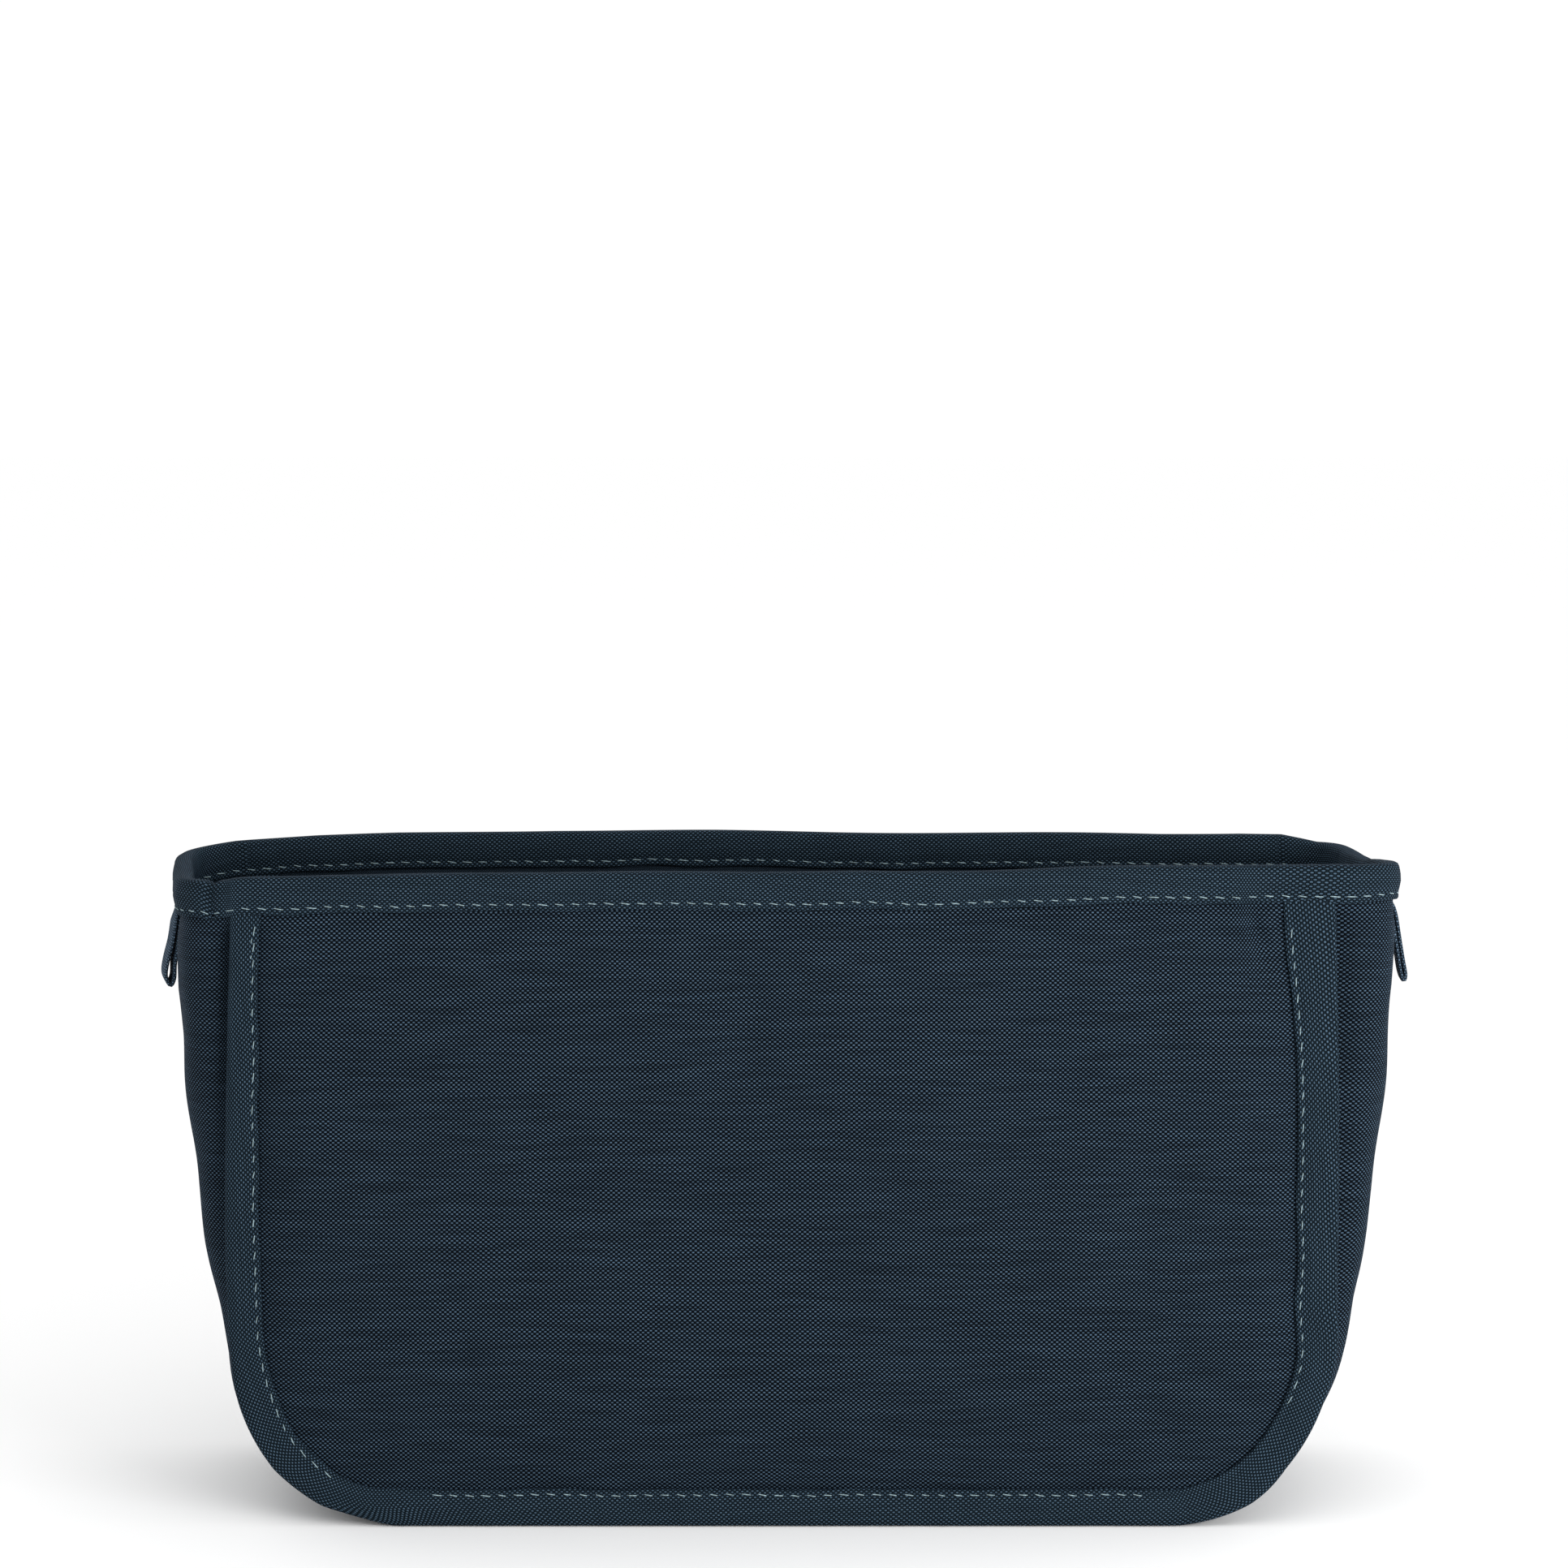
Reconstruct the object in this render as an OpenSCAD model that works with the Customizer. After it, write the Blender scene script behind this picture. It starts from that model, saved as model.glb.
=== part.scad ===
// Travel document organizer: an open-top soft pouch that also drops into a larger bag.
// Two padded walls stand on a gusset strip that runs down one side, along the base and up
// the other side. A folded band binds each seam, another binds the rim, and a fabric loop
// hangs from the rim at each side. X runs along the walls, Y from the front wall to the
// back wall, and Z is up. The origin is at the middle of the base, on the table.

/* [Body] */
// Width over the rim at half depth
body_w = 280; // [266:1:300]
// Height of the rim above the table
body_h = 147; // [130:1:180]
// Depth over the two seam bindings
body_d = 75; // [64:1:100]
// Width of the front and back walls over their seam bindings
wall_w = 246; // [220:1:256]
// Width of a wall's rounded lower corner
corner_w = 38; // [24:1:50]
// Height of a wall's rounded lower corner
corner_h = 46; // [24:1:60]

/* [Layers] */
// Thickness of the shell fabric of a wall
shell_t = 0.6; // [0.4:0.1:0.8]
// Thickness of a lining
lining_t = 0.6; // [0.4:0.1:0.8]
// Thickness of a wall's foam pad
pad_t = 2.4; // [1.5:0.1:4]
// How far a padded wall stands proud of its seam binding
crown = 1.6; // [0.8:0.1:3]
// Thickness of the gusset fabric
gusset_t = 0.9; // [0.6:0.1:1]
// Thickness of the layer between the gusset and its lining
filler_t = 1.3; // [1:0.1:1.3]

/* [Bindings] */
// Width of the folded band that covers a seam
seam_w = 8.4; // [6:0.2:12]
// Height of the folded band round the rim
rim_h = 8.2; // [6:0.2:12]
// Thickness of one leg of a folded band
band_t = 0.9; // [0.6:0.1:1.2]

/* [Pockets] */
// Height of the pocket floors above the table
pocket_z = 18; // [16:1:30]
// Height of the slip pockets
pocket_h = 92; // [60:1:100]
// Width of each row of slip pockets
pocket_w = 204; // [160:1:206]
// How far a pocket bows away from its wall at the middle of a compartment
pocket_bow = 8; // [6:0.5:9]
// Compartments on the front wall, for cards, a pen and a telephone
front_slots = 3; // [1:1:4]
// Compartments on the back wall, for a passport and for boarding passes
back_slots = 2; // [1:1:3]

/* [Loops] */
// Length of a hanging loop
loop_l = 20; // [14:1:30]
// Width of the loop's fabric strap
loop_w = 10; // [6:1:16]
// Angle at which a loop hangs away from straight down
loop_splay = 5; // [0:1:20]

/* [Hidden] */

navy = [0.15, 0.20, 0.26];
navy_light = [0.19, 0.26, 0.33];
lining_blue = [0.13, 0.17, 0.22];
foam_grey = [0.62, 0.64, 0.66];
board_black = [0.10, 0.10, 0.11];

air = 0.1;             // gap between two layers of one wall
seam_gap = 0.4;        // gap between a wall and the strip that it leans on
half_w = wall_w / 2;
half_d = body_d / 2;
layers_t = shell_t + lining_t + 3 * air;   // what a binding holds between its legs
binding_d = layers_t + 2 * band_t;         // depth of a seam binding
rim_over = 0.3;                            // how far the rim binding stands over the seam's
table_gap = 0.2;                           // seam bindings stop just above the table
strip_inset = 0.6;                         // the strip starts inside the binding's edge
inset_z = 10;                              // and fades to flush with it at the base
strip_half = half_d - binding_d - rim_over - seam_gap;
rim_bulge = body_w / 2 - half_w + strip_inset - band_t;
bulge_power = 0.85;                        // how the bulge dies away towards the base
bulge_square = 5;                          // how squarely the strip turns its corners
wall_top = body_h - band_t - rim_over - air;
strip_top = body_h - band_t - air;
pad_top = body_h - rim_h - 1;              // padding stops below the rim binding
pad_inset = seam_w + 0.4;

side_steps = 8;        // stations along a straight side
corner_steps = 12;     // stations round a lower corner
base_steps = 4;        // stations along the base
pocket_seam_w = 2;     // flat seam between two compartments
pocket_edge_h = 7;     // height of the folded band on a pocket's edge
rim_setback = 1.8;     // a wall's rim binding ends this far inside its seam binding
hinge_gap = 0.5;       // from the rim's side to the line that a loop swings on
across_steps = 12;     // points from the front edge of the strip to the back edge
filler_skip = 3;       // points at each edge that the side fillers don't reach

// Stations of the U-shaped seam, from the top of the left side round to the top of the
// right side. Each one holds x, z and the outward direction.
function corner_normal(a) =
    let (n = [cos(a) / corner_w, sin(a) / corner_h]) n / norm(n);
function side_level(i) = pad_top + (corner_h - pad_top) * i / side_steps;
function side_stations(s, top) = concat(
    top > pad_top ? [[s * half_w, top, s, 0]] : [],
    [for (i = [0:side_steps - 1]) [s * half_w, side_level(i), s, 0]]);
function corner_stations(s) =
    [for (i = [0:corner_steps])
        let (a = 90 * i / corner_steps, n = corner_normal(a))
        [s * (half_w - corner_w + corner_w * cos(a)), corner_h * (1 - sin(a)),
         s * n[0], -n[1]]];
function half_stations(s, top) = concat(side_stations(s, top), corner_stations(s));
function reversed(v) = [for (i = [len(v) - 1:-1:0]) v[i]];
function base_stations() =
    [for (i = [1:base_steps - 1])
        [(half_w - corner_w) * (2 * i / base_steps - 1), 0, 0, -1]];
function stations(top) =
    concat(half_stations(-1, top), base_stations(), reversed(half_stations(1, top)));

// Outline of a wall, drawn in from its edge
function wall_outline(inset, top) =
    [for (s = stations(top)) [s[0] - inset * s[2], s[1] - inset * s[3]]];

// A point of the gusset strip, at a depth under its outer face: v runs from -1 at the front
// seam to 1 at the back seam
function bulge(z) = rim_bulge * pow(max(z, 0) / body_h, bulge_power);
function inset(z) = strip_inset * min(max(z, 0) / inset_z, 1);
function strip_point(s, v, depth) =
    let (b = bulge(s[1]),
         slope = sign(v) * b * bulge_square * pow(abs(v), bulge_square - 1) / strip_half,
         k = depth / sqrt(1 + slope * slope),
         out = b * (1 - pow(abs(v), bulge_square)) - inset(s[1]) - k)
    [s[0] + s[2] * out, v * strip_half - slope * k, s[1] + s[3] * out];
function across(i) = sin(90 * (2 * i / across_steps - 1));
function strip_loop(s, outer, inner, skip = 0) = concat(
    [for (i = [skip:across_steps - skip]) strip_point(s, across(i), outer)],
    [for (i = [across_steps - skip:-1:skip]) strip_point(s, across(i), inner)]);

// Closed solid through a list of closed loops of points. The two halves of a loop are split
// along mirrored diagonals, so that layers of one strip stay parallel.
function loft_faces(i, j, n) =
    let (k = (j + 1) % n, a = i * n + j, b = a + n, c = (i + 1) * n + k, d = i * n + k)
    j < n / 2 ? [[a, b, c], [a, c, d]] : [[a, b, d], [b, c, d]];
module loft(loops) {
    n = len(loops[0]);
    m = len(loops);
    polyhedron(
        points = [for (loop = loops) each loop],
        faces = concat(
            [[for (j = [0:n - 1]) j]],
            [for (i = [0:m - 2]) for (j = [0:n - 1]) each loft_faces(i, j, n)],
            [[for (j = [n - 1:-1:0]) (m - 1) * n + j]]),
        convexity = 6);
}

// A folded band in section: two legs joined at e = 0, in inset e and depth d
function fold_profile(width, depth, leg) = [
    [0, depth - 0.3], [0.3, depth], [width - 0.3, depth], [width, depth - 0.3],
    [width, depth - leg], [leg, depth - leg], [leg, leg], [width, leg],
    [width, 0.3], [width - 0.3, 0], [0.3, 0], [0, 0.3]];

// Turns what is drawn for the front wall round to the back wall
module at_wall(back) {
    mirror([0, back ? 1 : 0, 0]) children();
}

// A plate of a wall's outline, from depth d0 to depth d1 behind the binding's front face
module wall_plate(inset, top, d0, d1) {
    translate([0, d1 - half_d, 0])
        rotate([90, 0, 0])
            linear_extrude(d1 - d0) polygon(wall_outline(inset, top));
}

// Shell fabric: a flange that the binding grips, and a raised face over the foam
module panel(back) {
    flange_d0 = band_t + air;
    flange_d1 = flange_d0 + shell_t;
    face_d = -crown;
    color(navy) at_wall(back) difference() {
        union() {
            wall_plate(band_t + air, wall_top, flange_d0, flange_d1);
            wall_plate(pad_inset, pad_top, face_d, flange_d1);
        }
        wall_plate(pad_inset + shell_t, pad_top - shell_t, face_d + shell_t, flange_d1 + 1);
    }
}

// Foam pad inside the raised face
module foam(back) {
    foam_inset = pad_inset + shell_t + air;
    foam_d0 = shell_t + air - crown;
    color(foam_grey) at_wall(back)
        wall_plate(foam_inset, pad_top - shell_t - air, foam_d0, foam_d0 + pad_t);
}

// Lining sheet behind the foam
module wall_lining(back) {
    lining_d = band_t + shell_t + 2 * air;
    color(lining_blue) at_wall(back)
        wall_plate(band_t + air, wall_top, lining_d, lining_d + lining_t);
}

// Folded band that runs down the wall's left side, along its base and up its right side
module seam_binding(back) {
    profile = fold_profile(seam_w, binding_d, band_t);
    top = body_h - rim_h - seam_gap;
    color(navy) at_wall(back)
        loft([for (s = stations(top))
            [for (p = profile)
                [s[0] - p[0] * s[2],
                 p[1] - half_d,
                 max(s[1] - p[0] * s[3], table_gap)]]]);
}

// Folded band over the wall's top edge
module rim_binding(back) {
    profile = fold_profile(rim_h, binding_d + 2 * rim_over, band_t + rim_over);
    length = wall_w - 2 * rim_setback;
    color(navy_light) at_wall(back)
        translate([-length / 2, 0, 0])
            rotate([90, 0, 90])
                linear_extrude(length)
                    polygon([for (p = profile)
                        [p[1] - half_d - rim_over, body_h - p[0]]]);
}

// Folded band over the top edge of the gusset at one side
module rim_binding_side(s) {
    stack_t = gusset_t + filler_t + lining_t + 4 * air;
    profile = fold_profile(rim_h, stack_t + 2 * band_t, band_t);
    color(navy_light)
        mirror([s > 0 ? 0 : 1, 0, 0])
            loft([for (i = [across_steps:-1:0])
                [for (p = profile)
                    strip_point([half_w, body_h - p[0], 1, 0], across(i),
                                p[1] - band_t - air)]]);
}

// Gusset strip between the two walls
module gusset() {
    color(navy)
        loft([for (s = stations(strip_top)) strip_loop(s, 0, gusset_t)]);
}

// Lining of the strip
module gusset_lining() {
    depth = gusset_t + filler_t + 2 * air;
    color(lining_blue)
        loft([for (s = stations(strip_top)) strip_loop(s, depth, depth + lining_t)]);
}

// Soft filler between the strip and its lining, down one side
module gusset_filler(s) {
    depth = gusset_t + air;
    levels = side_stations(s, pad_top);
    color(foam_grey)
        loft([for (station = s < 0 ? levels : reversed(levels))
            strip_loop(station, depth, depth + filler_t, filler_skip)]);
}

// A rectangle with round corners
module rounded_rectangle(w, l, r) {
    square([w - 2 * r, l], center = true);
    square([w, l - 2 * r], center = true);
    for (x = [-1, 1]) for (y = [-1, 1])
        translate([x * (w / 2 - r), y * (l / 2 - r)]) circle(r = r, $fn = 48);
}

// Stiff board that keeps the base flat, under the lining
module base_board() {
    board_w = 2 * (half_w - corner_w) - 4;
    board_l = 2 * strip_half - 6;
    color(board_black)
        translate([0, 0, gusset_t + air])
            linear_extrude(filler_t) rounded_rectangle(board_w, board_l, 6);
}

// A circular segment on a chord of width w, grown by an even margin
module bow_2d(w, bow, margin) {
    r = (w * w / 4 + bow * bow) / (2 * bow);
    intersection() {
        translate([0, bow - r]) circle(r = r + margin, $fn = 360);
        translate([-w / 2 - margin, 0]) square([w + 2 * margin, bow + margin]);
    }
}

// What is drawn for one compartment, repeated side by side along the wall
module slot_row(slots) {
    for (i = [0:slots - 1])
        translate([(i + 0.5) * pocket_w / slots - pocket_w / 2, 0]) children();
}

// Section of a row of pockets: a bowed sheet with a flat seam at the end of each bow
module pocket_section(slots, margin) {
    slot_w = pocket_w / slots;
    difference() {
        slot_row(slots) bow_2d(slot_w, pocket_bow, margin);
        slot_row(slots) bow_2d(slot_w, pocket_bow, -lining_t - margin);
    }
    for (i = [0:slots])
        translate([i * slot_w - pocket_w / 2 - pocket_seam_w / 2 - margin, -margin])
            square([pocket_seam_w + 2 * margin, lining_t + 2 * margin]);
}

// Places a row of pockets against its wall's lining, at height z
module at_lining(back, z) {
    pocket_d = binding_d - band_t + air;
    at_wall(back) translate([0, pocket_d - half_d, z]) children();
}

// Row of slip pockets and their floors
module pocket(slots, back) {
    color(lining_blue) at_lining(back, pocket_z) {
        linear_extrude(pocket_h - band_t - air) pocket_section(slots, 0);
        linear_extrude(lining_t) slot_row(slots)
            bow_2d(pocket_w / slots, pocket_bow, 0);
    }
}

// Folded band over the top edge of a row of pockets
module pocket_binding(slots, back) {
    slot_h = pocket_edge_h - band_t;
    color(navy_light) at_lining(back, pocket_z + pocket_h - pocket_edge_h) difference() {
        linear_extrude(pocket_edge_h) intersection() {
            pocket_section(slots, band_t);
            translate([-body_w / 2, 0]) square([body_w, body_d / 2]);
        }
        translate([0, 0, -1]) linear_extrude(slot_h + 1) pocket_section(slots, air);
    }
}

// Folded fabric loop that hangs from the side rim on its hinge line
module hanging_loop(s) {
    strap_t = 1;
    gap_r = 0.8;
    outer_r = gap_r + strap_t;
    eye_z = outer_r - loop_l;
    hinge_x = body_w / 2 + hinge_gap;
    hinge_z = body_h - rim_h - 0.1;
    color(navy_light)
        translate([s * hinge_x, loop_w / 2, hinge_z])
            rotate([0, -s * loop_splay, 0])
                rotate([90, 0, 0])
                    linear_extrude(loop_w) difference() {
                        union() {
                            translate([0, eye_z]) circle(r = outer_r, $fn = 48);
                            polygon([[-outer_r, eye_z], [outer_r, eye_z],
                                     [strap_t, -0.3], [-strap_t, -0.3]]);
                        }
                        translate([0, eye_z]) circle(r = gap_r, $fn = 48);
                        polygon([[-gap_r, eye_z], [gap_r, eye_z], [0, -loop_l / 4]]);
                    }
}

gusset();
gusset_lining();
gusset_filler(-1);  // gusset_filler_left
gusset_filler(1);  // gusset_filler_right
base_board();
rim_binding_side(-1);  // rim_binding_left
rim_binding_side(1);  // rim_binding_right
panel(false);  // front_panel
foam(false);  // front_foam
wall_lining(false);  // front_lining
seam_binding(false);  // front_seam_binding
rim_binding(false);  // front_rim_binding
pocket(front_slots, false);  // front_pocket
pocket_binding(front_slots, false);  // front_pocket_binding
panel(true);  // back_panel
foam(true);  // back_foam
wall_lining(true);  // back_lining
seam_binding(true);  // back_seam_binding
rim_binding(true);  // back_rim_binding
pocket(back_slots, true);  // back_pocket
pocket_binding(back_slots, true);  // back_pocket_binding
hanging_loop(-1);  // loop_left
hanging_loop(1);  // loop_right
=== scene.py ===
import math
import bmesh
import bpy
import numpy as np
from mathutils import Matrix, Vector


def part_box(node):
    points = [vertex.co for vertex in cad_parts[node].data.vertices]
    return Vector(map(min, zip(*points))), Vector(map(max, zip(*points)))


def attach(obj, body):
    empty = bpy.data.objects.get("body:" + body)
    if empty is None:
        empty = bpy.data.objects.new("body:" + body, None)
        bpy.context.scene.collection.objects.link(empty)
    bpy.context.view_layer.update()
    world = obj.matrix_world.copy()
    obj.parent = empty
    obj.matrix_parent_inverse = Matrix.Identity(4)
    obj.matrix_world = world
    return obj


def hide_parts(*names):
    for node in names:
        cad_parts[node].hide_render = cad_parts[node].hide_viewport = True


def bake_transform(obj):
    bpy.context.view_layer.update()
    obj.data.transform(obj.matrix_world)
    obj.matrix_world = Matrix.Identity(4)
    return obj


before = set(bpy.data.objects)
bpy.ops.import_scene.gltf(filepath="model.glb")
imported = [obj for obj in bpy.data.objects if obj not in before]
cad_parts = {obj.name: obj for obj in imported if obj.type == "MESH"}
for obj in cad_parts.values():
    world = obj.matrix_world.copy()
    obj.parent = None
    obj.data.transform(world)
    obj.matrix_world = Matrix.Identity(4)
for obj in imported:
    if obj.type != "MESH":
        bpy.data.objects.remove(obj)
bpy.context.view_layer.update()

# Looks of the travel document organizer. Shapes are worked out in millimetres in the CAD
# frame and turned into metres when a mesh is made. X runs along the walls, the front wall
# is at negative Y, and Z is up. face is -1 for the front wall and 1 for the back wall.
MM = 0.001


def box_mm(node):
    low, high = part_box(node)
    return np.array(low) / MM, np.array(high) / MM


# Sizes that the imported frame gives
SEAM_LOW, SEAM_HIGH = box_mm("front_seam_binding")
RIM_LOW, RIM_HIGH = box_mm("front_rim_binding")
POCKET_LOW, POCKET_HIGH = box_mm("front_pocket_binding")
HALF_W = SEAM_HIGH[0]
HALF_D = -SEAM_LOW[1]
BAND_D = SEAM_HIGH[1] - SEAM_LOW[1]
RIM_TOP = RIM_HIGH[2]
RIM_H = RIM_HIGH[2] - RIM_LOW[2]
RIM_EDGE = RIM_TOP - RIM_H           # the rim band's lower edge
POCKET_W = box_mm("front_pocket")[1][0] * 2
POCKET_Z = box_mm("front_pocket")[0][2]
POCKET_TOP = POCKET_HIGH[2]
POCKET_EDGE_H = POCKET_HIGH[2] - POCKET_LOW[2]

# Sizes that part.scad has and the boxes don't show
CORNER_W, CORNER_H = 38.0, 46.0      # a wall's rounded lower corner
SEAM_W = 8.4                         # width of a seam binding
TABLE_GAP = 0.2                      # the bindings stop just above the table
FRONT_SLOTS, BACK_SLOTS = 3, 2

# Sewing, as measured on the photograph at this size
PITCH = 3.65                         # one stitch and its gap
STEP = PITCH / 5                     # distance between stations along a band
SEAM_STITCH = 7.3                    # seam's stitch row, from the band's outer edge
RIM_STITCH = 6.8                     # rim's stitch row, below its top
TUCK = 6.5                           # a panel's edge lies this far in from the wall's
RIM_T = 4.2                          # thickness of the rim band
THREAD_R = 0.13                      # radius of the sewing thread
STITCH_HALF = 0.32                   # half a stitch's length, as a share of PITCH
BIAS = 3                             # degrees between a band and the weave it is cut from


# ---------------------------------------------------------------- small tools
def smooth(t):
    t = np.clip(t, 0.0, 1.0)
    return t * t * (3 - 2 * t)


def drift(s, seed, length, count=6):
    """A smooth, slow wave of about unit height along s, with waves of about that length."""
    rng = np.random.default_rng(seed)
    waves = length * rng.uniform(0.6, 1.6, count)
    phases = rng.uniform(0, 2 * math.pi, count)
    total = sum(np.sin(2 * math.pi * s / w + p) for w, p in zip(waves, phases))
    return total * math.sqrt(2 / count) / 1.4


def ripple(x, z, seed, length, count=9, squash=1.0):
    """The same over a surface. With squash above 1 the waves are longer along x."""
    rng = np.random.default_rng(seed)
    total = np.zeros(np.broadcast(x, z).shape)
    for _ in range(count):
        a, p = rng.uniform(0, 2 * math.pi, 2)
        w = length * rng.uniform(0.6, 1.6)
        total += np.sin(2 * math.pi * (x / squash * math.cos(a) + z * math.sin(a)) / w + p)
    return total * math.sqrt(2 / count) / 1.4


def resample(points, step=None, count=None):
    """Even spacing along a polyline. Returns the new points and the length along each."""
    points = np.asarray(points, float)
    ends = np.r_[0, np.cumsum(np.linalg.norm(np.diff(points, axis=0), axis=1))]
    count = count or int(round(ends[-1] / step)) + 1
    s = np.linspace(0, ends[-1], count)
    return np.stack([np.interp(s, ends, c) for c in points.T], axis=1), s


def spline(points, count):
    """Centripetal Catmull-Rom curve through points, sampled evenly."""
    p = np.asarray(points, float)
    p = np.vstack([2 * p[0] - p[1], p, 2 * p[-1] - p[-2]])
    out = []
    for i in range(1, len(p) - 2):
        t = np.linspace(0, 1, 24, endpoint=i == len(p) - 3)[:, None]
        a, b, c, d = p[i - 1:i + 3]
        out.append(0.5 * (2 * b + (c - a) * t + (2 * a - 5 * b + 4 * c - d) * t ** 2
                          + (3 * b - a - 3 * c + d) * t ** 3))
    return resample(np.vstack(out), count=count)[0]


def side_normals(path, outward):
    """Unit normals in the plane of a 2-D path, on the side of the given direction."""
    tangent = np.gradient(path, axis=0)
    normal = np.stack([-tangent[:, 1], tangent[:, 0]], axis=1)
    normal /= np.linalg.norm(normal, axis=1)[:, None]
    middle = len(path) // 2
    return normal if normal[middle] @ outward > 0 else -normal


def grid_normals(p):
    n = np.cross(np.gradient(p, axis=0), np.gradient(p, axis=1))
    return n / np.maximum(np.linalg.norm(n, axis=2), 1e-9)[:, :, None]


# ---------------------------------------------------------------- shape of the rest pose
# Height of the rim's top at places along x, at the front and at the back
FRONT_TOP = [(-128, 144.6), (-117, 145.7), (-99, 146.4), (-60, 146.8), (0, 146.9), (61, 147.6),
             (97, 148.4), (123, 148.9), (135, 148.8)]
BACK_TOP = [(-137, 143.6), (-125, 145.2), (-106, 146.3), (-87, 146.9), (-49, 147.5),
            (-11, 147.5), (56, 146.9), (94, 146.7), (113, 147.0), (123, 146.8), (131, 145.2)]
# Sideways moves at heights above the table: out from the middle at a wall's full width, and
# to the right near the left and the right lower corner
SPREAD = [(0, 0), (5, 2.0), (15, 1.5), (60, 1.0), (100, 0.2), (138, -1)]
LEFT_CORNER = [(0, 5.0), (1.5, 5.0), (4.4, 2.0), (13, 0.8), (25, 1.4), (38, 1.9), (50, 1.4),
               (62, 0.9), (80, 0.6), (104, 0.3), (120, 0)]
RIGHT_CORNER = [(0, 2.6), (2.6, 2.4), (5, 1.8), (13, 0.4), (25, 0.3), (38, 0.2), (50, -0.5),
                (62, -0.4), (80, 0)]
CORNER_FROM, CORNER_REACH = 60, 50   # a corner's move starts here, and is full that far on
SIDE_SHIFT = 1.7                     # both sides bulge this much further to the right
LEFT_RISE, RIGHT_RISE = 1.2, 0.1     # and, as a share, this much more toward the rim
SAG, LEFT_SAG, RIGHT_SAG = 4, 0.7, 1.8   # the rim hangs lower between its corners
REAR_SHIFT = 3.3                     # the back rim has slipped this far to the left
SLANT = 2.8                          # top of the right seam leans this far inward
SLANT_DEPTH = [(0, 1), (0.1, 1), (0.3, 0)]   # its share from the front to the back


def table(x, rows):
    return np.interp(x, *np.array(rows).T)


def settle(p):
    """Small sags and leans of the real, soft object: applied to every soft piece alike."""
    x, y, z = p[..., 0], p[..., 1], p[..., 2]
    rear = smooth((y + HALF_D) / (2 * HALF_D))
    up = smooth((z - 60) / 80)
    beyond = smooth((np.abs(x) - 119) / 8) * smooth(z / 50)
    beside = beyond * np.where(x < 0, 1 + LEFT_RISE * up, 1 + RIGHT_RISE * up)
    sag = beyond * up * SAG * rear * (1 - rear) * np.where(x < 0, LEFT_SAG, RIGHT_SAG)
    lift = (table(x, FRONT_TOP) * (1 - rear) + table(x, BACK_TOP) * rear - RIM_TOP) * up
    at_left = smooth((-x - CORNER_FROM) / CORNER_REACH)
    at_right = smooth((x - CORNER_FROM) / CORNER_REACH)
    slant = smooth((z - 104) / 36) * smooth((x - 100) / 10) * smooth((124 - x) / 12)
    move = (table(z, SPREAD) * x / HALF_W + table(z, LEFT_CORNER) * at_left
            + table(z, RIGHT_CORNER) * at_right + SIDE_SHIFT * beside * (1 - rear)
            - REAR_SHIFT * rear * up - SLANT * slant * table(rear, SLANT_DEPTH))
    return np.stack([x + move, y, z + lift - sag], axis=-1)


# ---------------------------------------------------------------- meshes
def make_object(name, points, faces, weave=None):
    """A mesh object in metres. weave holds cloth coordinates in millimetres, one row for
    each corner of each face, and the fabric materials read it."""
    mesh = bpy.data.meshes.new(name)
    mesh.from_pydata((np.asarray(points) * MM).tolist(), [], np.asarray(faces).tolist())
    if weave is not None:
        data = np.zeros((len(mesh.loops), 3), np.float32)
        data[:, :2] = weave
        attribute = mesh.attributes.new("weave", "FLOAT_VECTOR", "CORNER")
        attribute.data.foreach_set("vector", data.ravel())
    mesh.shade_smooth()
    mesh.set_sharp_from_angle(angle=math.radians(65))
    obj = bpy.data.objects.new(name, mesh)
    bpy.context.scene.collection.objects.link(obj)
    return obj


def face_out(obj):
    """Turns a closed mesh's faces outward."""
    bm = bmesh.new()
    bm.from_mesh(obj.data)
    bmesh.ops.recalc_face_normals(bm, faces=bm.faces)
    bm.to_mesh(obj.data)
    bm.free()
    return obj


def grid_faces(n, m, closed, uv):
    """Quads of an n by m grid and the cloth coordinates of their corners. A closed grid
    joins its last column to its first, and its uv has one more column than points."""
    i, j = np.meshgrid(np.arange(n - 1), np.arange(m if closed else m - 1), indexing="ij")
    k = (j + 1) % m
    faces = np.stack([i * m + j, (i + 1) * m + j, (i + 1) * m + k, i * m + k], axis=-1)
    corners = np.stack([uv[i, j], uv[i + 1, j], uv[i + 1, j + 1], uv[i, j + 1]], axis=-2)
    return faces.reshape(-1, 4), corners.reshape(-1, 2)


def tube(name, rings, uv):
    """A closed solid through rings of points, capped at both ends."""
    n, m = rings.shape[:2]
    faces, corners = grid_faces(n, m, True, uv)
    half = m // 2
    caps, cap_uv = [], []
    for row, turn in ((0, 1), (n - 1, -1)):
        for j in range(half - 1):
            quad = [j, j + 1, m - 2 - j, m - 1 - j][::turn]
            caps.append([row * m + q for q in quad])
            cap_uv += [uv[row, q] for q in quad]
    faces = np.vstack([faces, caps])
    corners = np.vstack([corners, cap_uv])
    return face_out(make_object(name, rings.reshape(-1, 3), faces, corners))


def thick_sheet(name, p, uv, thickness, normals=None):
    """A closed sheet: the grid p is its outer side, and the inner side lies under it."""
    n = grid_normals(p) if normals is None else normals
    rings = np.concatenate([p, (p - n * thickness)[:, ::-1]], axis=1)
    back = np.concatenate([uv, uv[:, ::-1], uv[:, :1]], axis=1)
    return tube(name, rings, back)


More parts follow.
